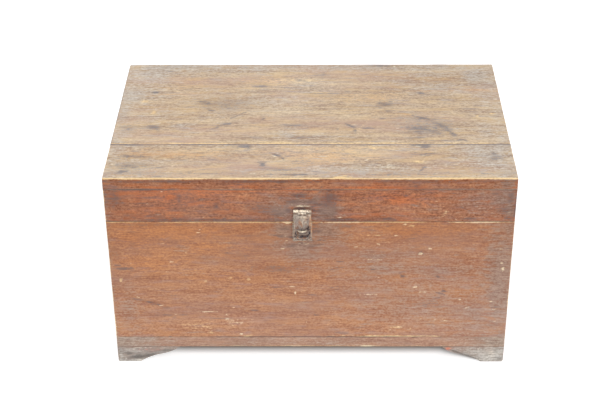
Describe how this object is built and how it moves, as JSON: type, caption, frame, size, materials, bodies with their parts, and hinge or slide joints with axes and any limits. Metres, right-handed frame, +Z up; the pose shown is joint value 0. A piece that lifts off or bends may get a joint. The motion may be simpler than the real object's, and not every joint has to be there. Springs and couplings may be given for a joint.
{
  "type": "wooden storage chest",
  "caption": "Rectangular dovetailed wooden chest with a flat hinged lid, bracket feet, butt hinges and a front hasp with staple.",
  "frame": {"origin": "on the floor, in the middle of the rectangle that the chest takes up with its hasp at rest", "axes": "+X along the front to the right, +Y from the front to the back, +Z up"},
  "size_m": [0.8, 0.5108, 0.445],
  "materials": {
    "stained_wood": "worn red-brown stain over horizontal grain",
    "worn_top_wood": "stain worn thin, scratched and greyed",
    "bottom_wood": "stained edges, bare faces",
    "foot_wood": "stain worn off to grey wood",
    "rusted_iron": "aged, rusty at the edges",
    "nail_iron": "dark, rusted"
  },
  "bodies": {
    "chest": {"back_board": "stained_wood", "bottom_board_back": "bottom_wood", "bottom_board_front": "bottom_wood", "bottom_board_middle": "bottom_wood", "bottom_nails": "nail_iron", "foot_back_left_block": "foot_wood", "foot_back_left_face": "foot_wood", "foot_back_left_side": "foot_wood", "foot_back_right_block": "foot_wood", "foot_back_right_face": "foot_wood", "foot_back_right_side": "foot_wood", "foot_front_left_block": "foot_wood", "foot_front_left_face": "foot_wood", "foot_front_left_side": "foot_wood", "foot_front_right_block": "foot_wood", "foot_front_right_face": "foot_wood", "foot_front_right_side": "foot_wood", "foot_nails": "nail_iron", "front_board": "stained_wood", "hinge_case_screws": "rusted_iron", "hinge_left_case_leaf": "rusted_iron", "hinge_left_pin": "rusted_iron", "hinge_right_case_leaf": "rusted_iron", "hinge_right_pin": "rusted_iron", "left_end_board": "stained_wood", "right_end_board": "stained_wood", "staple": "rusted_iron", "staple_plate": "rusted_iron", "staple_plate_screws": "rusted_iron"},
    "lid": {"hasp_leaf": "rusted_iron", "hasp_leaf_screws": "rusted_iron", "hasp_pin": "rusted_iron", "hinge_left_lid_leaf": "rusted_iron", "hinge_lid_screws": "rusted_iron", "hinge_right_lid_leaf": "rusted_iron", "lid_back_rail": "stained_wood", "lid_brads": "nail_iron", "lid_front_rail": "stained_wood", "lid_left_rail": "stained_wood", "lid_right_rail": "stained_wood", "lid_top_board_back": "worn_top_wood", "lid_top_board_front": "worn_top_wood"},
    "hasp": {"hasp_flap": "rusted_iron"}
  },
  "joints": [
    {"name": "lid_hinge", "type": "hinge", "parent": "chest", "child": "lid", "pos_m": [0, 0.24943, 0.346], "axis": [-1, 0, 0], "range_deg": [0, 105]},
    {"name": "hasp_hinge", "type": "hinge", "parent": "lid", "child": "hasp", "pos_m": [-0.015, -0.23987, 0.3725], "axis": [-1, 0, 0], "range_deg": [-17, 160]}
  ]
}
